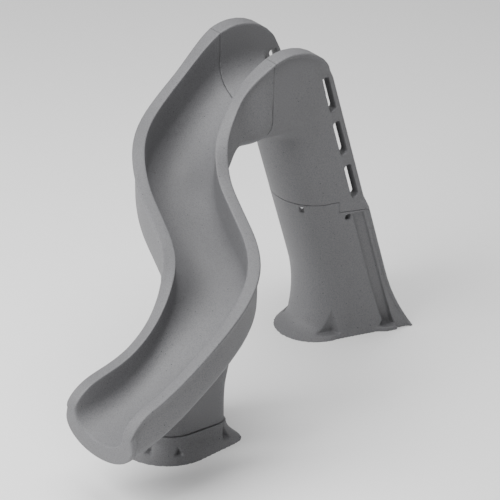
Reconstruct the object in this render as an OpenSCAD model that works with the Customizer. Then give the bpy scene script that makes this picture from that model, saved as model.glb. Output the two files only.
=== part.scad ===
/* [Ladder] */
// Height of the top of the handrails above the ground
rail_top_z = 2565; // [2400:5:2700]
// Clear width between the two side walls of the ladder
well_w = 560; // [500:10:620]
// Thickness of a side wall at its rear edge
wall_t = 112; // [95:1:130]
// Backward lean of the ladder from the vertical, in degrees
lean = 17.3; // [14:0.1:20]
// Depth of the ladder from its rear edge to its rounded front
ladder_depth = 538; // [500:2:560]
// Height of the joint between the two ladder mouldings
joint_z = 1200; // [1120:10:1260]
// Step down of that joint towards the rear
joint_drop = 90; // [50:5:120]
// Narrowing of each side wall towards the front
front_taper = 72; // [40:2:90]
// Radius of the arch of the handrails
hump_r = 420; // [360:5:460]

/* [Steps] */
// Depth of a tread
tread_d = 160; // [130:5:180]
// Thickness of a tread
tread_t = 45; // [30:1:60]
// Distance of the tread noses in from the rear edge of the walls
tread_in = 150; // [120:5:170]
// Length of the platform behind the flume
deck_len = 370; // [300:10:400]
// Fall of the platform towards the flume
deck_fall = 105; // [40:5:130]

/* [Hand slots] */
// Width of a hand slot
slot_w = 65; // [50:1:70]
// Length of a hand slot
slot_len = 300; // [240:5:330]
// Distance from one hand slot to the next
slot_pitch = 403; // [380:1:420]
// Distance of the first slot's middle up the rail from the ground
slot_first = 1457; // [1440:1:1500]
// Width of the handle bar behind the slots
bar_w = 40; // [32:1:48]
// Depth of the recess round the slots, from the edge of the rim
recess_out = 46; // [36:1:54]

/* [Flume] */
// Clear width of the flume
flume_w = 500; // [440:10:540]
// Width of the rolled rim
rim_w = 95; // [80:1:105]
// Overhang of the rim past the outer wall
rim_over = 20; // [12:1:26]
// Thickness of the overhanging edge
rim_t = 26; // [20:1:34]
// Depth of the flume's floor below its rim at the top joint
top_floor_d = 475; // [420:5:520]
// Depth of the flume's belly below its rim at the top joint
top_belly_d = 725; // [660:5:760]
// Depth of the belly below the rim once clear of the ladder
mid_belly_d = 550; // [540:5:600]
// Depth of the floor below the rim at the exit
exit_floor_d = 305; // [260:5:330]
// Depth of the belly below the rim at the exit
exit_belly_d = 420; // [400:5:450]
// Angle that each of the two bends turns through, in degrees
bend_angle = 77; // [65:1:82]
// Length of the first bend along the flume
bend_1_len = 1201; // [1150:1:1320]
// Length of the second bend along the flume
bend_2_len = 961; // [920:1:1000]
// Length of the flume along its middle
run_len = 2845; // [2780:5:2920]
// Radius of the rim's rounded corner at the exit
exit_r = 200; // [120:5:260]

/* [Leg] */
// Place of the leg along the flume
leg_s = 1450; // [1350:10:1500]
// Distance of the leg ahead of the flume's middle line
leg_off = 200; // [140:5:240]
// Width of the leg
leg_w = 480; // [420:10:520]
// Depth of the leg
leg_d = 600; // [540:10:640]
// Height of the foot below the leg
foot_h = 150; // [130:5:180]

/* [Fixings] */
// Diameter of the anchor holes
anchor_d = 13; // [9:1:17]
// Diameter of the joint bolts' shanks
bolt_d = 10; // [6:1:12]
// Clearance of a shank in its hole, across the diameter
hole_gap = 1; // [0.5:0.1:2]
// Outer diameter of the joint washers
joint_washer_d = 26; // [22:1:30]
// Thickness of every washer
washer_t = 3; // [2:0.5:4]
// Thickness of the ledge in each anchor pocket
ledge_t = 35; // [25:1:50]

/* [Hidden] */
$fn = 48;
ladder_grey = [0.56, 0.56, 0.57];
flume_grey = [0.62, 0.62, 0.63];
leg_grey = [0.5, 0.5, 0.51];
steel = [0.75, 0.76, 0.78];

// Distances are forward from the origin along the slide, which is -Y, sideways along +X, and up.
rear_at_ground = -388;
top_joint = 884;
lean_tan = tan(lean);
function rear_line(z) = rear_at_ground + lean_tan * z;
function front_line(z) = rear_line(z) + ladder_depth;

function smooth(t) = let (c = min(max(t, 0), 1)) c * c * (3 - 2 * c);
function mix(a, b, t) = a + (b - a) * t;
function bump(s, c, h) = abs(s - c) >= h ? 0 : (1 + cos(180 * (s - c) / h)) / 2;
function sq(v) = v * v;

// Arch of the handrails: a circle that the rear line meets in a tangent.
hump_z = rail_top_z - hump_r;
hump_f = rear_at_ground + (hump_r + hump_z * sin(lean)) / cos(lean);
function hump_top(f) = hump_z + sqrt(sq(hump_r) - sq(f - hump_f));
joint_rim_z = hump_top(top_joint);
belly_z = joint_rim_z - top_belly_d;
deck_z = joint_rim_z - top_floor_d;
deck_end = top_joint - deck_len;
deck_end_z = deck_z + deck_fall;
tread_n = 6;
tread_rise = deck_end_z / (tread_n + 1);

// Middle of the small fillet between the ladder's front and the belly.
fillet_r = 40;
fillet_z = belly_z - fillet_r - 15;
fillet_f = front_line(fillet_z) + fillet_r;

// One half of a closed section, from the floor's middle up the inner wall, over the rim
// and down the outer wall to the belly's middle, as [sideways, depth below the rim].
rim_r = 12;
rim_steps = [0, 45, 90];
function half(wi, df, bi, wt, wb, db, bo, e = 0, over = rim_over) = concat(
    [for (k = [0:7]) let (a = 90 * k / 7)
        [(wi + e) * sin(a), df - bi + (bi + e) * cos(a)]],
    [for (a = rim_steps) [wi + e + rim_r * (1 - cos(a)), e + rim_r * (1 - sin(a))]],
    [for (a = rim_steps)
        [wt + over - e - rim_r * (1 - sin(a)), e + rim_r * (1 - cos(a))]],
    [[wt + over - e, rim_t - 6], [wt + over - e - 6, rim_t], [wt - e, rim_t + 4]],
    [for (k = [0:8]) let (a = 90 * k / 8) [(wb - e) * cos(a), db - bo + (bo - e) * sin(a)]]);
// Whole outline from its half: the last point, and any before first, lie on the middle.
function both(h, first = 1) = concat(h, [for (k = [len(h) - 2:-1:first]) [-h[k][0], h[k][1]]]);
inner_n = 10;
outer_n = 14;
// Triangles across a U section, as a strip between its inner and its outer side.
function strip(i, o, n) = i >= inner_n && o >= outer_n ? [] :
    let (m = inner_n + outer_n + 1, a = i, b = m - o, inner = i * outer_n <= o * inner_n && i < inner_n,
        t = inner ? [a, a + 1, b] : [a, b - 1, b])
    concat([t, [for (k = [2:-1:0]) (n - t[k]) % n]],
        strip(i + (inner ? 1 : 0), o + (inner ? 0 : 1), n));
function u_cap(n) = strip(0, 0, n);
function plain_cap(n) = [[for (j = [0:n - 1]) j]];

// Closed skin over rings of points.
module skin(rings, u = false) {
    n = len(rings[0]);
    m = len(rings);
    cap = u ? u_cap(n) : plain_cap(n);
    polyhedron(
        points = [for (r = rings) each r],
        faces = concat(
            [for (f = cap) [for (k = [len(f) - 1:-1:0]) f[k]]],
            [for (f = cap) [for (k = f) (m - 1) * n + k]],
            [for (i = [0:m - 2], j = [0:n - 1])
                let (a = i * n + j, b = i * n + (j + 1) % n)
                each [[a, b, a + n], [b, b + n, a + n]]]),
        convexity = 12);
}

// Flume
bend_1_at = 58;
bend_2_at = 1369;
base_slope = 0.471;
drops = [[0.415, 282, 371], [0.244, 942, 222], [0.463, 2190, 473], [-0.16, 2870, 330]];
// The last stretch veers a little further round.
exit_veer = 11;
veer_len = 700;
function heading(s) = bend_angle
    * (smooth((s - bend_1_at) / bend_1_len) - smooth((s - bend_2_at) / bend_2_len))
    - exit_veer * smooth((s - run_len + veer_len) / veer_len);
function slope(s) = base_slope
    + drops[0][0] * bump(s, drops[0][1], drops[0][2])
    + drops[1][0] * bump(s, drops[1][1], drops[1][2])
    + drops[2][0] * bump(s, drops[2][1], drops[2][2])
    + drops[3][0] * bump(s, drops[3][1], drops[3][2]);
// Turn of the flume's cross section, which the exit's face takes a little further.
exit_skew = 19;
skew_len = 450;
function section_turn(s) = heading(s) + exit_skew * smooth((s - run_len + skew_len) / skew_len);
run_n = 55;
run_ds = run_len / run_n;
function run_step(s) = [sin(heading(s)), cos(heading(s)), -slope(s)];
// Middle line of the rim as [sideways, forward, up].
path = [for (i = 0, p = [0, top_joint, joint_rim_z]; i <= run_n;
    p = p + run_ds * run_step((i + 0.5) * run_ds), i = i + 1) p];
function path_at(s) = let (k = min(s / run_ds, run_n - 0.001), i = floor(k))
    path[i] + (k - i) * (path[i + 1] - path[i]);

flume_wi = flume_w / 2;
well_wi = well_w / 2;
wall_out = well_wi + wall_t;
flume_out = flume_wi + rim_w - rim_over;
width_run = 350;
exit_narrow = 6;
function run_narrow(s) = exit_narrow * smooth(2 * s / run_len - 1);
function run_wi(s) = mix(well_wi, flume_wi, smooth(s / width_run)) - run_narrow(s);
function run_out(s) = mix(wall_out, flume_out, smooth(s / width_run)) - run_narrow(s);
function floor_d(s) = mix(top_floor_d, exit_floor_d, smooth(s / run_len));
belly_run = 310;
function run_belly_d(s) = mix(top_belly_d, mix(mid_belly_d, exit_belly_d, smooth(s / run_len)),
    smooth(s / belly_run));
// Swell of the belly's sides towards the exit's thick lip.
exit_swell = 16;
swell_len = 350;
function run_belly_w(s) = run_out(s) + exit_swell * smooth((s - run_len + swell_len) / swell_len);
floor_round = 0.48;
belly_round = 0.4;
exit_round = 0.5;
function run_belly_r(s) = mix(belly_round, exit_round, smooth((s - run_len + swell_len) / swell_len))
    * run_belly_d(s);
// Drop of the rim where its corner rounds down at the exit, short of the upright.
exit_turn = 66;
function exit_drop(s) = let (t = max(s - run_len + exit_r, 0) / exit_r)
    exit_r * (1 - sqrt(1 - sq(t * sin(exit_turn)))) / sin(exit_turn);
// The rim's overhang runs on round the exit as a lip.
lip_len = 40;
lip_from = 62;
lip_step = 6;
function exit_lip(s) = (rim_over - lip_step)
    * smooth((s - run_len + lip_from) / (lip_from - lip_len));
function run_ring(s, e) = let (p = path_at(s), h = section_turn(s), q = exit_drop(s),
    l = exit_lip(s), fd = floor_d(s) - q, bd = run_belly_d(s) + l - q,
    b = both(half(run_wi(s), fd, floor_round * floor_d(s), run_out(s) + l, run_belly_w(s) + l,
        bd, run_belly_r(s), e, rim_over - l)))
    [for (v = b) [p[0] + v[0] * cos(h), -(p[1] - v[0] * sin(h)), p[2] - q - v[1]]];
edge_r = 14;
end_steps = [0, 30, 60, 90];
exit_rings = [155, 120, 90, lip_from, lip_len, 26];
module flume_body() {
    skin(concat(
        [for (i = [0:run_n - 4]) run_ring(i * run_ds, 0)],
        [for (d = exit_rings) run_ring(run_len - d, 0)],
        [for (a = end_steps)
            run_ring(run_len - edge_r * (1 - sin(a)) - 0.01, edge_r * (1 - cos(a)))]), true);
}
// Level bolts at the top joint, from pockets under the ladder's belly into the flume.
top_bolt_x = 120;
top_bolt_up = 62;
top_bolt_z = belly_z + top_bolt_up;
module top_bolts_at() both_sides() translate([top_bolt_x, -top_joint, top_bolt_z])
    rotate([90, 90, 0]) children();
module runway() color(flume_grey) difference() {
    flume_body();
    top_bolts_at() bolt_hole();
}

// Leg and foot under the flume
leg_mid = let (p = path_at(leg_s), h = heading(leg_s))
    [p[0] - leg_off * cos(h), p[1] + leg_off * sin(h)];
// Outline with a rounded front: half width in front and how much less it is at the rear,
// distances ahead and behind, front ellipse and rear corner radius.
function plan_half(hw, less, ahead, behind, b, r) = concat(
    [for (a = [0:30:90]) [hw - less - r + r * sin(a), -behind + r - r * cos(a)]],
    [for (k = [0:8]) let (a = 90 * k / 8) [hw * cos(a), ahead - b + b * sin(a)]]);
function plan(half, z, back = 0) = [for (v = both(half, 0))
    [leg_mid[0] + v[0], back - (leg_mid[1] + v[1]), z]];
leg_top = 1250;
leg_round = 230;
leg_corner = 95;
// The leg leans back and narrows ahead as it rises, to end inside the flume's width.
leg_lean_from = 350;
leg_lean = 160;
leg_pinch = 50;
leg_lean_to = 1100;
leg_levels = [leg_lean_from, 450, 600, 750, 900, 1050];
function leg_ring(z) = let (t = smooth((z - leg_lean_from) / (leg_lean_to - leg_lean_from)))
    plan(plan_half(leg_w / 2, 0, leg_d / 2 - leg_pinch * t, leg_d / 2, leg_round, leg_corner),
        z, leg_lean * t);
module leg_body() skin([for (z = concat([foot_h], leg_levels, [leg_top])) leg_ring(z)]);
seat_gap = 0.3;
// Solid block of the flume with its channel filled, a seat gap larger all round.
function block_ring(s, e) = let (p = path_at(s), h = heading(s), w = run_out(s) + e,
    bd = run_belly_d(s) + e, bo = run_belly_r(s),
    q = concat([[w, -block_above]],
        [for (k = [0:8]) let (a = 90 * k / 8) [w * cos(a), bd - bo + bo * sin(a)]]))
    [for (v = both(q, 0)) [p[0] + v[0] * cos(h), -(p[1] - v[0] * sin(h)), p[2] - v[1]]];
block_above = 400;
block_from = 16;
block_to = 50;
module flume_block() skin([for (i = [block_from:block_to]) block_ring(i * run_ds, seat_gap)]);
module runway_leg() color(leg_grey) difference() {
    leg_body();
    flume_block();
    leg_bolts_at() bolt_hole();
}
// Growth of the foot from the lip under the leg down to the ground, ahead, to each side in
// front, to each side at the rear, and behind.
foot_lip = 12;
foot_grow = [155, 133, 81, 88];
function foot_ring(z) = let (t = pow(max(1 - z / foot_h, 0), 2.2), hw = leg_w / 2 + foot_lip,
    hd = leg_d / 2 + foot_lip)
    plan(plan_half(hw + foot_grow[1] * t, (foot_grow[1] - foot_grow[2]) * t,
        hd + foot_grow[0] * t, hd + foot_grow[3] * t, leg_round + foot_grow[0] * t,
        leg_corner + foot_lip), z);
module foot_body() skin([for (k = [0:8]) foot_ring(foot_h * k / 8)]);
// Anchors: a notch in the flared foot leaves a flat ledge, and the bolt stands on it.
notch_deep = 240;
// Notch h high with its inner edge at p on the ledge, opening the way that angle a points from
// straight ahead, by open each way. The edge leans outwards as it rises.
module notch(p, a, open, lean_out, h) translate([p[0], -p[1], ledge_t]) rotate([0, 0, a - 90])
    skin([for (z = [0, h]) [for (v = [[0, 0], [1, open], [1, -open]])
        [v[0] * notch_deep + lean_out * z, v[1] * notch_deep, z]]]);
function reach(p, a, d) = [p[0] + d * sin(a), p[1] + d * cos(a)];
module at_place(p) translate([p[0], -p[1], 0]) children();
module anchor_hole() translate([0, 0, -1]) cylinder(d = anchor_d, h = ledge_t + 2);
// Places on one side, from the leg's middle: sideways, forward, and the way that each faces.
foot_anchors_at = [[139, 335, 28], [280, 175, 60], [267, -240, 95]];
foot_notch_in = 32;
foot_notch_open = 0.7;
foot_places = [for (x = [-1, 1], n = foot_anchors_at)
    [[leg_mid[0] + x * n[0], leg_mid[1] + n[1]], x * n[2]]];
module foot_anchors() for (n = foot_places) at_place(n[0]) children();
module runway_foot() color(leg_grey) difference() {
    foot_body();
    for (n = foot_places)
        notch(reach(n[0], n[1], -foot_notch_in), n[1], foot_notch_open, 0, foot_h);
    foot_anchors() anchor_hole();
    leg_bolts_at() {
        bolt_hole();
        bolt_pocket();
    }
}

// Joint bolts stand upright in a small open pocket below a joint, through a ledge into the
// moulding above.
bolt_ledge = 25;
bolt_in = 60;
bolt_head_h = 0.65 * bolt_d;
bolt_head_d = 1.8 * bolt_d;
bolt_pocket_h = 48;
bolt_pocket_r = joint_washer_d / 2 + 8;
module joint_bolt() {
    translate([0, 0, -bolt_ledge - washer_t - bolt_head_h])
        cylinder(d = bolt_head_d, h = bolt_head_h, $fn = 6);
    translate([0, 0, -bolt_ledge - washer_t]) cylinder(d = bolt_d, h = bolt_ledge + washer_t + bolt_in);
}
module joint_washer() translate([0, 0, -bolt_ledge - washer_t]) difference() {
    cylinder(d = joint_washer_d, h = washer_t);
    translate([0, 0, -1]) cylinder(d = bolt_d + hole_gap, h = washer_t + 2);
}
module bolt_hole() translate([0, 0, -bolt_ledge - 1])
    cylinder(d = bolt_d + hole_gap, h = bolt_ledge + bolt_in + 2);
// Pocket round a bolt's head, open the way that its X points.
module bolt_pocket() translate([0, 0, -bolt_ledge - bolt_pocket_h])
    linear_extrude(bolt_pocket_h) union() {
        circle(bolt_pocket_r);
        translate([0, -bolt_pocket_r]) square([120, 2 * bolt_pocket_r]);
    }
// Leg bolts: a pair behind, from pockets in the foot up into the leg.
leg_bolt_x = 110;
leg_bolt_in = 45;
module leg_bolts_at() for (x = [-1, 1]) translate([leg_mid[0] + x * leg_bolt_x,
    -(leg_mid[1] - leg_d / 2 + leg_bolt_in), foot_h]) rotate([0, 0, 90]) children();
module leg_bolts() color(steel) leg_bolts_at() joint_bolt();
module leg_washers() color(steel) leg_bolts_at() joint_washer();

// Ladder
base_h = 600;
toe_h = 90;
heel_h = 500;
function front_flare(z) = 205 * sq(max(1 - z / base_h, 0)) + 115 * sq(max(1 - z / toe_h, 0));
function rear_flare(z) = 85 * sq(max(1 - z / heel_h, 0));
function side_flare(z) = 62 * sq(max(1 - z / heel_h, 0));
front_round = 270;
base_round = 60;
well_round = 30;
riser_in = tread_in + tread_d;
// Section of the column in a level plane.
function column_ring(z) = let (t = rear_line(z) - rear_flare(z),
    db = front_line(z) + front_flare(z) - t,
    b = front_round + base_round * sq(max(1 - z / base_h, 0)),
    h = both(half(well_wi, riser_in + rear_flare(z), well_round, wall_out + side_flare(z),
        wall_out - front_taper, db, b)))
    [for (v = h) [v[0], -(t + v[1]), z]];

// Section planes that fan round the fillet from level to upright.
nose_a = atan((deck_end_z - fillet_z) / (fillet_f - deck_end));
function rim_ray(a) = let (c = cos(a), s = sin(a),
    // distance to the rear line
    line = (fillet_f - rear_line(fillet_z)) / (c + lean_tan * s),
    // distance to the arch
    dx = fillet_f - hump_f, dz = fillet_z - hump_z,
    bb = -dx * c + dz * s,
    arc = -bb + sqrt(max(sq(bb) - sq(dx) - sq(dz) + sq(hump_r), 0)),
    foot_z = hump_z + hump_r * sin(lean))
    fillet_z + line * s < foot_z ? line : arc;
function riser_ray(a) = (fillet_f - rear_line(fillet_z) - riser_in) / (cos(a) + lean_tan * sin(a));
function deck_ray(a) = let (s = sin(a), k = deck_fall / deck_len)
    (deck_end_z - k * (fillet_f - deck_end) - fillet_z) / (s - k * cos(a));
function fan_ring(a) = let (t = smooth(a / 90), ro = rim_ray(a),
    fl = a < nose_a ? riser_ray(a) : deck_ray(a),
    h = both(half(well_wi, ro - fl, mix(well_round, floor_round * top_floor_d, sq(t)), wall_out,
        wall_out - front_taper * (1 - t), ro - fillet_r,
        mix(front_round, belly_round * top_belly_d, t))))
    [for (v = h) let (d = ro - v[1]) [v[0], -(fillet_f - d * cos(a)), fillet_z + d * sin(a)]];
function deck_ring(f) = let (t = (f - fillet_f) / (top_joint - fillet_f), r = hump_top(f),
    fl = r - (deck_z + deck_fall * (top_joint - f) / deck_len),
    bl = r - mix(fillet_z + fillet_r, belly_z, t),
    h = both(half(well_wi, fl, floor_round * top_floor_d, wall_out, wall_out,
        bl, belly_round * top_belly_d)))
    [for (v = h) [v[0], -f, r - v[1]]];
fan_angles = concat([for (k = [0:6]) nose_a * k / 6 - (k == 6 ? 1 : 0)],
    [for (k = [0:5]) mix(nose_a + 1, 90, k / 5)]);
joint_low = joint_z - joint_drop;
// How far the shells run past the parting face, which then cuts them.
parting_over = 20;
module upper_shell() skin(concat(
    [for (z = [joint_low - parting_over, mix(joint_z, fillet_z, 0.5)]) column_ring(z)],
    [for (a = fan_angles) fan_ring(a)],
    [for (k = [1:4]) deck_ring(mix(fillet_f, top_joint, k / 4))]), true);
// Levels of the lower moulding's rings, closer together where its foot flares.
foot_levels = [-parting_over, 0, 15, 30, 50, 75, 100, 150, 210, 280, 360, 450, 540, 700];
module lower_shell()
    skin([for (z = concat(foot_levels, [joint_z + parting_over])) column_ring(z)], true);

// The two mouldings part on a stepped face: level at the front, lower at the rear.
joint_step = 195;
big = 1200;
// What lies below the stepped face, or above it, as a block across the whole ladder.
module parting(far_z) translate([-big / 2, 0, 0]) rotate([90, 0, 90]) linear_extrude(big)
    polygon([[big, joint_low], [-joint_step, joint_low], [-joint_step, joint_z],
        [-big, joint_z], [-big, far_z], [big, far_z]]);
module below_ground() translate([-big / 2, -big / 2, -big]) cube([big, big, big]);

// One tread with a rounded nose, let into both walls.
wall_bite = 8;
module tread(z) {
    f = rear_line(z) + tread_in;
    back = rear_line(z) + riser_in + 25;
    r = tread_t / 2;
    translate([-well_wi - wall_bite, 0, 0]) rotate([90, 0, 90])
        linear_extrude(well_w + 2 * wall_bite) union() {
            translate([-back, z - tread_t]) square([back - f - r, tread_t]);
            translate([-f - r, z - r]) circle(r);
        }
}
// Frame that runs up a rail: its Z climbs the rear edge and its -Y points into the wall.
module on_rail() translate([0, -rear_at_ground, 0]) rotate([lean, 0, 0]) children();
module both_sides() {
    children();
    mirror([1, 0, 0]) children();
}
module round_bar(w, l, r) {
    // rounded rectangle centred on the origin
    square([w, l - 2 * r], center = true);
    square([w - 2 * r, l], center = true);
    for (x = [-1, 1], y = [-1, 1]) translate([x * (w / 2 - r), y * (l / 2 - r)]) circle(r);
}
slot_r = 22;
slot_mid = bar_w + slot_w / 2;
module slots() both_sides() on_rail() {
    for (k = [0:2]) translate([0, -slot_mid, slot_first + k * slot_pitch])
        rotate([90, 0, 90]) linear_extrude(wall_out + 60) round_bar(slot_w, slot_len, slot_r);
    recess();
}
// Recess of the outer face round the slots, open to the rear, with ramped ends.
recess_margin = 30;
recess_reach = 90;
ramp_low = 2.2;
ramp_top = 4;
module recess() {
    x = wall_out + rim_over - recess_out;
    z0 = slot_first - slot_len / 2 - recess_margin;
    z1 = slot_first + 2 * slot_pitch + slot_len / 2 + recess_margin;
    translate([0, recess_reach, 0]) rotate([90, 0, 0])
        linear_extrude(recess_reach + slot_mid + slot_w / 2) polygon([
            [x, z0], [x, z1],
            [x + recess_reach, z1 + ramp_top * recess_reach],
            [x + recess_reach, z0 - ramp_low * recess_reach]]);
}
module upper_ladder() color(ladder_grey) difference() {
    union() {
        upper_shell();
        for (k = [4:tread_n]) tread(k * tread_rise);
    }
    slots();
    ladder_bolts_at() bolt_hole();
    top_bolts_at() {
        bolt_hole();
        bolt_pocket();
    }
    parting(joint_low - 2 * parting_over);
}
// Bolts of the ladder's joint: round the front at the upper level, one a side at the lower.
joint_bolt_inset = 20;
joint_bolt_a = [50];
function wall_front(z) = wall_out - front_taper;
module ladder_bolts_at() both_sides() {
    for (a = joint_bolt_a) translate([(wall_front(joint_z) - joint_bolt_inset) * cos(a),
        -(front_line(joint_z) - front_round + (front_round - joint_bolt_inset) * sin(a)),
        joint_z]) rotate([0, 0, -a]) children();
    translate([side_bolt_x, -side_bolt_f, joint_low]) children();
}
side_bolt_f = rear_line(joint_low) + 160;
side_bolt_x = wall_out - 70;
// Foot of the ladder: a ledge under each side channel and a notch in each front corner.
lug_plan = [[300, -130], [362, -130], [436, -240], [454, -330], [300, -330]];
lug_anchor = [385, -245];
lug_notch_in = 85;
lug_notch_open = 0.6;
lug_notch_lean = 1.2;
lug_notch_h = 75;
notch_h = 260;
front_notch_a = 25;
front_notch_turn = 50;
front_notch_in = 73;
front_notch_open = 1.79;
front_notch_lean = 0.15;
front_anchor_in = 35;
// Point on the foot's front outline at the height of the ledge, a distance in from it.
function front_place(d) = let (z = ledge_t, b = front_round + base_round * sq(1 - z / base_h))
    reach([wall_front(z) * cos(front_notch_a),
        front_line(z) + front_flare(z) - b * (1 - sin(front_notch_a))], front_notch_turn, -d);
module ladder_anchors() both_sides() {
    at_place(front_place(front_anchor_in)) children();
    at_place(lug_anchor) children();
}
module lug() translate([0, 0, -parting_over]) linear_extrude(ledge_t + parting_over)
    polygon([for (p = lug_plan) [p[0], -p[1]]]);
channel_w = 80;
channel_d = 24;
channel_in = 50;
channel_low = ledge_t;
channel_start = -400;
function wall_x(p) = wall_out - front_taper * (p - rim_t) / (ladder_depth - front_round - rim_t);
module channel_cut() both_sides() intersection() {
    on_rail() translate([0, 0, channel_start]) linear_extrude(2 * joint_z) polygon([
        [wall_x(channel_in) - channel_d, -channel_in],
        [wall_x(channel_in + channel_w) - channel_d, -channel_in - channel_w],
        [wall_out + 90, -channel_in - channel_w],
        [wall_out + 90, -channel_in]]);
    translate([0, -big / 2, channel_low]) cube([big, big, joint_low - 20 - channel_low]);
}
module lower_ladder() color(ladder_grey) difference() {
    union() {
        lower_shell();
        for (k = [1:3]) tread(k * tread_rise);
        both_sides() lug();
    }
    parting(joint_z + 2 * parting_over);
    below_ground();
    channel_cut();
    both_sides() {
        notch(front_place(front_notch_in), front_notch_turn, front_notch_open,
            front_notch_lean, notch_h);
        notch(reach(lug_anchor, 90, -lug_notch_in), 90, lug_notch_open, lug_notch_lean, lug_notch_h);
    }
    ladder_anchors() anchor_hole();
    ladder_bolts_at() {
        bolt_hole();
        bolt_pocket();
    }
}
module ladder_joint_bolts() color(steel) ladder_bolts_at() joint_bolt();
module ladder_joint_washers() color(steel) ladder_bolts_at() joint_washer();
module top_joint_bolts() color(steel) top_bolts_at() joint_bolt();
module top_joint_washers() color(steel) top_bolts_at() joint_washer();

runway();
runway_leg();
runway_foot();
upper_ladder();
lower_ladder();
ladder_joint_bolts();
ladder_joint_washers();
top_joint_bolts();
top_joint_washers();
leg_bolts();
leg_washers();
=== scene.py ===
"""Finish, soft moulded edges and stage for an S-curved moulded garden slide."""

import math

import bmesh
import bpy
from mathutils import Matrix, Vector
from mathutils.bvhtree import BVHTree
from mathutils.kdtree import KDTree


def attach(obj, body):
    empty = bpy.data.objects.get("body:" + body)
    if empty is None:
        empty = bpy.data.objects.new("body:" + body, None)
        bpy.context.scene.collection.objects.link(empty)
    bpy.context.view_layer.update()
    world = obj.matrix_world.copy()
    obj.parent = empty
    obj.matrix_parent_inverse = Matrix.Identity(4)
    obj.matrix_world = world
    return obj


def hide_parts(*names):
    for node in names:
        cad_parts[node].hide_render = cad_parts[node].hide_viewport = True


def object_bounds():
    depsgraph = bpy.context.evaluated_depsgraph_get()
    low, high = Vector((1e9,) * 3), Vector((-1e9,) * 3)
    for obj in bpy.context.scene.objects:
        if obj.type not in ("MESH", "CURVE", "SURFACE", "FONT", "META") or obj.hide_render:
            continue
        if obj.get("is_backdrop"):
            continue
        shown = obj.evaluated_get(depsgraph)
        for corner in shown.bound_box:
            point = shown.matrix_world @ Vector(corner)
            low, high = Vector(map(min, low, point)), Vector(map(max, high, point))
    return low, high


bl_info = {
    "name": "Moulded garden slide",
    "version": (1, 0, 0),
    "blender": (4, 5, 0),
    "location": "3D View > Sidebar > Slide",
    "description": "Dresses the CAD model of a moulded garden slide",
    "category": "Object",
}

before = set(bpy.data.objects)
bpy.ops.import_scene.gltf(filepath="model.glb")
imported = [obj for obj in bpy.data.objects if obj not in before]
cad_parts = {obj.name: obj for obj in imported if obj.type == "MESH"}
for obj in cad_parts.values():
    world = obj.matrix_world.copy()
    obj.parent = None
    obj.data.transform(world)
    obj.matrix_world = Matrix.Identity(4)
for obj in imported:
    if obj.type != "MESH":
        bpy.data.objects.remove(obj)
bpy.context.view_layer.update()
MM = 0.001


# Settings


class SlideMouldingSettings(bpy.types.PropertyGroup):
    """How softly the rotationally moulded pieces are rounded."""

    grain: bpy.props.FloatProperty(
        name="Grain",
        description="Size of the even mesh that a moulding is rebuilt with",
        default=6.5 * MM,
        min=4 * MM,
        max=20 * MM,
        unit="LENGTH",
    )
    edge_passes: bpy.props.IntProperty(
        name="Edge passes",
        description="Rounding passes over the whole moulding, edges too",
        default=1,
        min=0,
        max=12,
    )
    face_passes: bpy.props.IntProperty(
        name="Face passes",
        description="Smoothing passes over the broad faces only",
        default=60,
        min=0,
        max=120,
    )
    edge_angle: bpy.props.FloatProperty(
        name="Edge angle",
        description="Angle past which two faces of the CAD model meet in a real edge",
        default=math.radians(32),
        subtype="ANGLE",
    )
    most_triangles: bpy.props.IntProperty(
        name="Most triangles",
        description="Count that a rebuilt moulding is thinned to",
        default=180000,
        min=20000,
        max=195000,
    )
    flume_levels: bpy.props.IntProperty(
        name="Flume levels",
        description="Subdivisions of the swept flume",
        default=2,
        min=1,
        max=3,
    )
    flume_crease: bpy.props.FloatProperty(
        name="Flume crease",
        description="Crease of the flume's square edges at the joint with the ladder",
        default=0.7,
        min=0,
        max=1,
    )


class SlideFinishSettings(bpy.types.PropertyGroup):
    """Colours and grain sizes of the finishes."""

    granite: bpy.props.StringProperty(
        name="Granite grey",
        description="Body colour of the speckled polyethylene, as sRGB hex",
        default="666668",
    )
    fleck: bpy.props.StringProperty(
        name="Fleck",
        description="Colour of the dark flecks, as sRGB hex",
        default="2C2C2E",
    )
    fleck_pitch: bpy.props.FloatProperty(
        name="Fleck pitch",
        description="Mean distance between two dark flecks",
        default=26 * MM,
        unit="LENGTH",
    )
    speckle_size: bpy.props.FloatProperty(
        name="Speckle size",
        description="Size of the fine granite speckle",
        default=7 * MM,
        unit="LENGTH",
    )
    skin_size: bpy.props.FloatProperty(
        name="Skin size",
        description="Size of the faint orange peel of the moulded skin",
        default=5 * MM,
        unit="LENGTH",
    )
    cloud_size: bpy.props.FloatProperty(
        name="Cloud size",
        description="Size of the slow drift of tone and sheen across a moulding",
        default=455 * MM,
        unit="LENGTH",
    )
    steel: bpy.props.StringProperty(
        name="Steel",
        description="Colour of the stainless fixings, as sRGB hex",
        default="C9CACC",
    )
    wrench_mark: bpy.props.FloatProperty(
        name="Wrench mark",
        description="Size of the faint marks on the stainless fixings",
        default=2 * MM,
        unit="LENGTH",
    )


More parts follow.
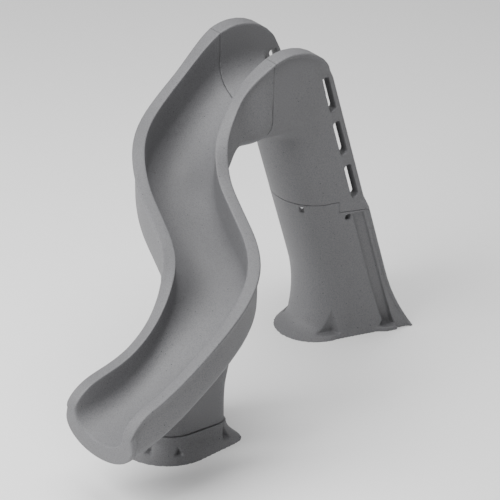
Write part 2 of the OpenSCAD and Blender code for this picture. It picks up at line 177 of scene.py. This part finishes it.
class SlideStageSettings(bpy.types.PropertyGroup):
    """Floor, lights and camera."""

    floor: bpy.props.StringProperty(
        name="Floor",
        description="Colour of the floor, as sRGB hex",
        default="F4F4F4",
    )
    key_power: bpy.props.FloatProperty(
        name="Key light",
        description="Power of the large light in front of the slide",
        default=2000,
        unit="POWER",
    )
    overhead_power: bpy.props.FloatProperty(
        name="Overhead light",
        description="Power of the large soft light overhead",
        default=700,
        unit="POWER",
    )
    fill_power: bpy.props.FloatProperty(
        name="Fill light",
        description="Power of the low light that reaches under the flume",
        default=150,
        unit="POWER",
    )
    room_light: bpy.props.FloatProperty(
        name="Room light",
        description="Strength of the even light of the room",
        default=0.5,
    )
    lens: bpy.props.FloatProperty(
        name="Lens",
        description="Focal length of the camera in millimetres",
        default=208.1,
    )
    azimuth: bpy.props.FloatProperty(
        name="Azimuth",
        description="Way that the camera looks, from +Y towards -X",
        default=math.radians(53.3),
        subtype="ANGLE",
    )
    elevation: bpy.props.FloatProperty(
        name="Elevation",
        description="Height of the camera above the level",
        default=math.radians(27.065),
        subtype="ANGLE",
    )
    roll: bpy.props.FloatProperty(
        name="Roll",
        description="Turn of the camera about its own axis",
        default=math.radians(1.07),
        subtype="ANGLE",
    )
    distance: bpy.props.FloatProperty(
        name="Distance",
        description="Distance from the camera to what it looks at",
        default=21.414,
        unit="LENGTH",
    )


# Materials


def linear(code):
    """An sRGB hex colour as the linear colour that a shader takes."""
    parts = [int(code[i : i + 2], 16) / 255 for i in (0, 2, 4)]
    return [
        p / 12.92 if p <= 0.04045 else ((p + 0.055) / 1.055) ** 2.4 for p in parts
    ] + [1.0]


def add_node(tree, kind, settings=None, **inputs):
    """Adds a node. Settings are its own values, and inputs its sockets' values or links.

    An input is named as its socket is, or _6 for socket 6 where several share a name.
    """
    made = tree.nodes.new(kind)
    for name, value in (settings or {}).items():
        setattr(made, name, value)
    for name, value in inputs.items():
        key = int(name[1:]) if name[1:].isdigit() else name.replace("_", " ")
        socket = made.inputs[key]
        if isinstance(value, bpy.types.NodeSocket):
            tree.links.new(value, socket)
        else:
            socket.default_value = value
    return made


def new_material(name):
    """An empty node material and its tree."""
    made = bpy.data.materials.new(name)
    made.use_nodes = True
    made.node_tree.nodes.clear()
    return made, made.node_tree


def granite_polyethylene(finish):
    """Rotationally moulded polyethylene with a stone speckle through the skin.

    The powder's dark grains give a fine speckle with sparse larger flecks, and the mould's
    cast wall leaves a matte skin with a faint orange peel. Grains are drawn about as large
    as a picture of the whole slide can show.
    """
    made, tree = new_material("granite_polyethylene")
    place = add_node(tree, "ShaderNodeTexCoord").outputs["Object"]
    fine = add_node(tree, "ShaderNodeTexNoise", {"noise_dimensions": "3D"}, Vector=place,
                    Scale=1 / finish.speckle_size, Detail=2.0, Roughness=0.7)
    cloud = add_node(tree, "ShaderNodeTexNoise", None, Vector=place,
                     Scale=1 / finish.cloud_size, Detail=3.0)
    flecks = add_node(tree, "ShaderNodeTexVoronoi", {"feature": "F1"}, Vector=place,
                      Scale=1 / finish.fleck_pitch)
    # a fleck is the core of a cell, and its own random shade says how large it is
    shade = add_node(tree, "ShaderNodeSeparateColor", None, Color=flecks.outputs["Color"])
    reach = add_node(tree, "ShaderNodeMapRange", None, Value=shade.outputs[0],
                     From_Min=0.65, From_Max=1.0, To_Min=0.0, To_Max=0.16)
    core = add_node(tree, "ShaderNodeMath", {"operation": "LESS_THAN"},
                    _0=flecks.outputs["Distance"], _1=reach.outputs["Result"])
    speck = add_node(tree, "ShaderNodeMapRange", None, Value=fine.outputs["Fac"],
                     From_Min=0.42, From_Max=0.66, To_Min=0.0, To_Max=0.42)
    drift = add_node(tree, "ShaderNodeMapRange", None, Value=cloud.outputs["Fac"],
                     From_Min=0.3, From_Max=0.7, To_Min=0.94, To_Max=1.05)
    body = linear(finish.granite)
    dark = linear(finish.fleck)
    speckled = add_node(tree, "ShaderNodeMix", {"data_type": "RGBA"},
                        Factor=speck.outputs["Result"], _6=body, _7=dark)
    flecked = add_node(tree, "ShaderNodeMix", {"data_type": "RGBA"},
                       Factor=core.outputs["Value"], _6=speckled.outputs[2], _7=dark)
    worn = add_node(tree, "ShaderNodeVectorMath", {"operation": "SCALE"},
                    _0=flecked.outputs[2], Scale=drift.outputs["Result"])
    matte = add_node(tree, "ShaderNodeMapRange", None, Value=cloud.outputs["Fac"],
                     From_Min=0.3, From_Max=0.7, To_Min=0.52, To_Max=0.66)
    peel = add_node(tree, "ShaderNodeTexNoise", None, Vector=place,
                    Scale=1 / finish.skin_size, Detail=1.0)
    skin = add_node(tree, "ShaderNodeBump", None, Strength=0.25, Distance=0.4 * MM,
                    Height=peel.outputs["Fac"])
    shader = add_node(tree, "ShaderNodeBsdfPrincipled", None, Base_Color=worn.outputs[0],
                      Roughness=matte.outputs["Result"], Normal=skin.outputs["Normal"],
                      IOR=1.51)
    add_node(tree, "ShaderNodeOutputMaterial", None, Surface=shader.outputs[0])
    return made


def stainless_steel(finish):
    """Cold-headed stainless steel, with the faint drag marks of a wrench and a tumbled skin."""
    made, tree = new_material("stainless_steel")
    place = add_node(tree, "ShaderNodeTexCoord").outputs["Object"]
    marks = add_node(tree, "ShaderNodeTexNoise", None, Vector=place,
                     Scale=1 / finish.wrench_mark, Detail=2.0)
    rough = add_node(tree, "ShaderNodeMapRange", None, Value=marks.outputs["Fac"],
                     From_Min=0.3, From_Max=0.7, To_Min=0.26, To_Max=0.42)
    bump = add_node(tree, "ShaderNodeBump", None, Strength=0.2, Distance=0.05 * MM,
                    Height=marks.outputs["Fac"])
    shader = add_node(tree, "ShaderNodeBsdfPrincipled", None,
                      Base_Color=linear(finish.steel), Metallic=1.0,
                      Roughness=rough.outputs["Result"], Normal=bump.outputs["Normal"])
    add_node(tree, "ShaderNodeOutputMaterial", None, Surface=shader.outputs[0])
    return made


def material(make):
    """The material that a function makes and shares its name with, made on first use."""
    return bpy.data.materials.get(make.__name__) or make(bpy.context.scene.slide_finish)


def dress(piece, finish):
    """Gives a piece one material."""
    piece.data.materials.clear()
    piece.data.materials.append(finish)


# Mouldings


# Corners of the CAD model's loose triangles that lie closer than this are one corner
WELD = 0.01 * MM
# A vertex nearer than this to a real edge, in grains, is held while the faces are faired
HELD = 1.5
# Two triangles of the sweep make one quad where they bend and skew less than this
QUAD_BEND = math.radians(40)
QUAD_SKEW = math.radians(60)
# An edge of the flume that turns more than this stays square
SQUARE = math.radians(70)
# How high above the leg's level top the flume's belly is looked for, and the gap left there
BELLY_REACH = 100 * MM
BELLY_GAP = 0.5 * MM


def merged_copy(node, name):
    """A copy of a CAD node as a new piece, with its loose triangles merged."""
    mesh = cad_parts[node].data.copy()
    mesh.name = name
    bm = bmesh.new()
    bm.from_mesh(mesh)
    bmesh.ops.remove_doubles(bm, verts=bm.verts, dist=WELD)
    bm.to_mesh(mesh)
    bm.free()
    piece = bpy.data.objects.new(name, mesh)
    bpy.context.scene.collection.objects.link(piece)
    return piece


def apply_modifiers(piece):
    """Makes what a piece's modifiers show its own mesh."""
    depsgraph = bpy.context.evaluated_depsgraph_get()
    made = bpy.data.meshes.new_from_object(piece.evaluated_get(depsgraph))
    made.name = piece.name
    piece.modifiers.clear()
    piece.data = made


def smooth(bm, verts, passes):
    """Moves vertices halfway to the middle of their neighbours, in so many passes."""
    for _ in range(passes):
        bmesh.ops.smooth_vert(bm, verts=verts, factor=0.5, use_axis_x=True,
                              use_axis_y=True, use_axis_z=True)


def edge_points(mesh, angle, step):
    """A search tree of points along the edges where a mesh's faces meet past an angle."""
    bm = bmesh.new()
    bm.from_mesh(mesh)
    points = []
    for edge in bm.edges:
        if edge.calc_face_angle(0.0) > angle:
            start, end = (v.co for v in edge.verts)
            count = math.ceil(edge.calc_length() / step) + 1
            points += [start.lerp(end, i / count) for i in range(count + 1)]
    bm.free()
    tree = KDTree(len(points))
    for i, point in enumerate(points):
        tree.insert(point, i)
    tree.balance()
    return tree


def faired(piece):
    """Rebuilds a moulding as an even mesh, its broad faces faired and its edges rounded."""
    settings = bpy.context.scene.slide_moulding
    edges = edge_points(piece.data, settings.edge_angle, settings.grain)
    even = piece.modifiers.new("even", "REMESH")
    even.mode = "VOXEL"
    even.voxel_size = settings.grain
    apply_modifiers(piece)
    bm = bmesh.new()
    bm.from_mesh(piece.data)
    broad = [v for v in bm.verts if edges.find(v.co)[2] > HELD * settings.grain]
    smooth(bm, broad, settings.face_passes)
    smooth(bm, bm.verts, settings.edge_passes)
    triangles = sum(len(face.verts) - 2 for face in bm.faces)
    bm.to_mesh(piece.data)
    bm.free()
    if triangles > settings.most_triangles:
        thin = piece.modifiers.new("thin", "DECIMATE")
        thin.ratio = settings.most_triangles / triangles
        apply_modifiers(piece)
    return piece


def rebuilt(node, name):
    """The faired copy of a moulding."""
    return faired(merged_copy(node, name))


def up_to_belly(node, name):
    """The faired leg, with its level top raised to the belly of the flume above it."""
    piece = merged_copy(node, name)
    bm = bmesh.new()
    bm.from_mesh(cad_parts["runway"].data)
    belly = BVHTree.FromBMesh(bm)
    bm.free()
    top = max(v.co.z for v in piece.data.vertices)
    for v in piece.data.vertices:
        if v.co.z > top - MM:
            hit = belly.ray_cast(v.co, Vector((0, 0, 1)), BELLY_REACH)[0]
            if hit:
                v.co.z = hit.z - BELLY_GAP
    return faired(piece)


def swept(node, name):
    """A swept moulding, its facets joined to quads along the sweep and subdivided."""
    settings = bpy.context.scene.slide_moulding
    piece = merged_copy(node, name)
    bm = bmesh.new()
    bm.from_mesh(piece.data)
    bmesh.ops.join_triangles(bm, faces=bm.faces, angle_face_threshold=QUAD_BEND,
                             angle_shape_threshold=QUAD_SKEW)
    crease = bm.edges.layers.float.new("crease_edge")
    for edge in bm.edges:
        if edge.calc_face_angle(0.0) > SQUARE:
            edge[crease] = settings.flume_crease
    bm.to_mesh(piece.data)
    bm.free()
    fine = piece.modifiers.new("fine", "SUBSURF")
    fine.levels = fine.render_levels = settings.flume_levels
    apply_modifiers(piece)
    return piece


def mould(operator, make, *nodes):
    """Makes the soft moulded piece for each of the CAD nodes, and shows it in their place."""
    for node in nodes:
        piece = make(node, node + "_moulding")
        if not piece.data.polygons:
            operator.report({"ERROR"}, f"{node} came out empty")
            raise RuntimeError(f"{node} came out empty")
        piece.data.shade_smooth()
        dress(piece, material(granite_polyethylene))
        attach(piece, "root")
        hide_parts(node)
    return {"FINISHED"}


class SLIDE_OT_runway(bpy.types.Operator):
    """Makes the S-curved flume"""

    bl_idname = "slide.runway"
    bl_label = "Flume"

    def execute(self, context):
        return mould(self, swept, "runway")


class SLIDE_OT_stand(bpy.types.Operator):
    """Makes the leg and the foot under the flume"""

    bl_idname = "slide.stand"
    bl_label = "Leg and foot"

    def execute(self, context):
        mould(self, up_to_belly, "runway_leg")
        return mould(self, rebuilt, "runway_foot")


class SLIDE_OT_ladder(bpy.types.Operator):
    """Makes the two mouldings of the ladder"""

    bl_idname = "slide.ladder"
    bl_label = "Ladder"

    def execute(self, context):
        return mould(self, rebuilt, "upper_ladder", "lower_ladder")


class SLIDE_OT_fixings(bpy.types.Operator):
    """Finishes the bolts and washers"""

    bl_idname = "slide.fixings"
    bl_label = "Bolts and washers"

    def execute(self, context):
        steel = material(stainless_steel)
        for node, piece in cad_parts.items():
            if "bolts" in node or "washers" in node:
                dress(piece, steel)
        return {"FINISHED"}


# Stage


# Where each soft light hangs, the point that it looks at and its width
LIGHTS = {
    "key": ((0.2, -10.8, 8.8), (0.4, -1.2, 1.2), 8.0),
    "overhead": ((0.6, -1.3, 9.5), (0.6, -1.2, 1.2), 6.0),
    "fill": ((-5.5, -7.0, 2.0), (0.6, -1.6, 0.8), 3.0),
}
# The floor's half width, and how far it lies below the feet
FLOOR_REACH = 60
FLOOR_GAP = 0.5 * MM
# What the camera looks at, how far it stands aside so that the slide fills the frame, and how
# far it sees
AIM = Vector((0.2, -1.125, 1.2))
ASIDE = (0.151, -0.171)
SIGHT = 200


def area_light(name, place, aim, size, power):
    """A square soft light that looks at a point."""
    lamp = bpy.data.lights.new(name, "AREA")
    lamp.size = size
    lamp.energy = power
    light = bpy.data.objects.new(name, lamp)
    light.matrix_world = Matrix.Translation(place) @ (
        (Vector(aim) - Vector(place)).to_track_quat("-Z", "Y").to_matrix().to_4x4()
    )
    bpy.context.scene.collection.objects.link(light)


def pale_floor(stage):
    """A wide level floor of plain matte paint."""
    bm = bmesh.new()
    bmesh.ops.create_grid(bm, x_segments=1, y_segments=1, size=FLOOR_REACH)
    bmesh.ops.translate(bm, verts=bm.verts, vec=(0, 0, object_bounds()[0][2] - FLOOR_GAP))
    mesh = bpy.data.meshes.new("floor")
    bm.to_mesh(mesh)
    bm.free()
    floor = bpy.data.objects.new("floor", mesh)
    bpy.context.scene.collection.objects.link(floor)
    made, tree = new_material("floor_paint")
    shader = add_node(tree, "ShaderNodeBsdfPrincipled", None,
                      Base_Color=linear(stage.floor), Roughness=0.9)
    add_node(tree, "ShaderNodeOutputMaterial", None, Surface=shader.outputs[0])
    mesh.materials.append(made)
    floor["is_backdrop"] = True


def room(stage):
    """Even white light all round."""
    world = bpy.data.worlds.new("room")
    world.use_nodes = True
    world.node_tree.nodes.clear()
    glow = add_node(world.node_tree, "ShaderNodeBackground", None,
                    Color=(1.0, 1.0, 1.0, 1.0), Strength=stage.room_light)
    add_node(world.node_tree, "ShaderNodeOutputWorld", None, Surface=glow.outputs[0])
    bpy.context.scene.world = world


def camera(stage):
    """A long lens at the photograph's angle."""
    az, el = stage.azimuth, stage.elevation
    right = Vector((math.cos(az), math.sin(az), 0.0))
    back = Vector((math.sin(az) * math.cos(el), -math.cos(az) * math.cos(el), math.sin(el)))
    up = back.cross(right)
    turn = Matrix.Rotation(stage.roll, 3, back)
    right, up = turn @ right, turn @ up
    lens = bpy.data.cameras.new("camera")
    lens.lens = stage.lens
    lens.clip_end = SIGHT
    eye = bpy.data.objects.new("camera", lens)
    place = AIM + right * ASIDE[0] + up * ASIDE[1] + back * stage.distance
    eye.matrix_world = Matrix.Translation(place) @ Matrix((right, up, back)).transposed().to_4x4()
    bpy.context.scene.collection.objects.link(eye)
    bpy.context.scene.camera = eye


class SLIDE_OT_stage(bpy.types.Operator):
    """Makes the floor, the lights and the camera"""

    bl_idname = "slide.stage"
    bl_label = "Stage"

    def execute(self, context):
        stage = context.scene.slide_stage
        pale_floor(stage)
        room(stage)
        for name, (place, aim, size) in LIGHTS.items():
            area_light(name, place, aim, size, getattr(stage, name + "_power"))
        camera(stage)
        return {"FINISHED"}


# Panel


class SLIDE_PT_panel(bpy.types.Panel):
    """Lists the pieces and their settings"""

    bl_idname = "SLIDE_PT_panel"
    bl_label = "Moulded slide"
    bl_space_type = "VIEW_3D"
    bl_region_type = "UI"
    bl_category = "Slide"

    def draw(self, context):
        for group in SETTINGS:
            settings = getattr(context.scene, group)
            box = self.layout.box()
            for name in settings.__annotations__:
                box.prop(settings, name)
        for operator in OPERATORS:
            self.layout.operator(operator.bl_idname)


SETTINGS = {
    "slide_moulding": SlideMouldingSettings,
    "slide_finish": SlideFinishSettings,
    "slide_stage": SlideStageSettings,
}
OPERATORS = (
    SLIDE_OT_runway,
    SLIDE_OT_stand,
    SLIDE_OT_ladder,
    SLIDE_OT_fixings,
    SLIDE_OT_stage,
)


def register():
    for name, group in SETTINGS.items():
        bpy.utils.register_class(group)
        setattr(bpy.types.Scene, name, bpy.props.PointerProperty(type=group))
    for cls in (*OPERATORS, SLIDE_PT_panel):
        bpy.utils.register_class(cls)


def unregister():
    for cls in (SLIDE_PT_panel, *reversed(OPERATORS)):
        bpy.utils.unregister_class(cls)
    for name, group in reversed(SETTINGS.items()):
        delattr(bpy.types.Scene, name)
        bpy.utils.unregister_class(group)


def main():
    register()
    bpy.ops.slide.runway()
    bpy.ops.slide.stand()
    bpy.ops.slide.ladder()
    bpy.ops.slide.fixings()
    bpy.ops.slide.stage()


if __name__ == "__main__":
    main()
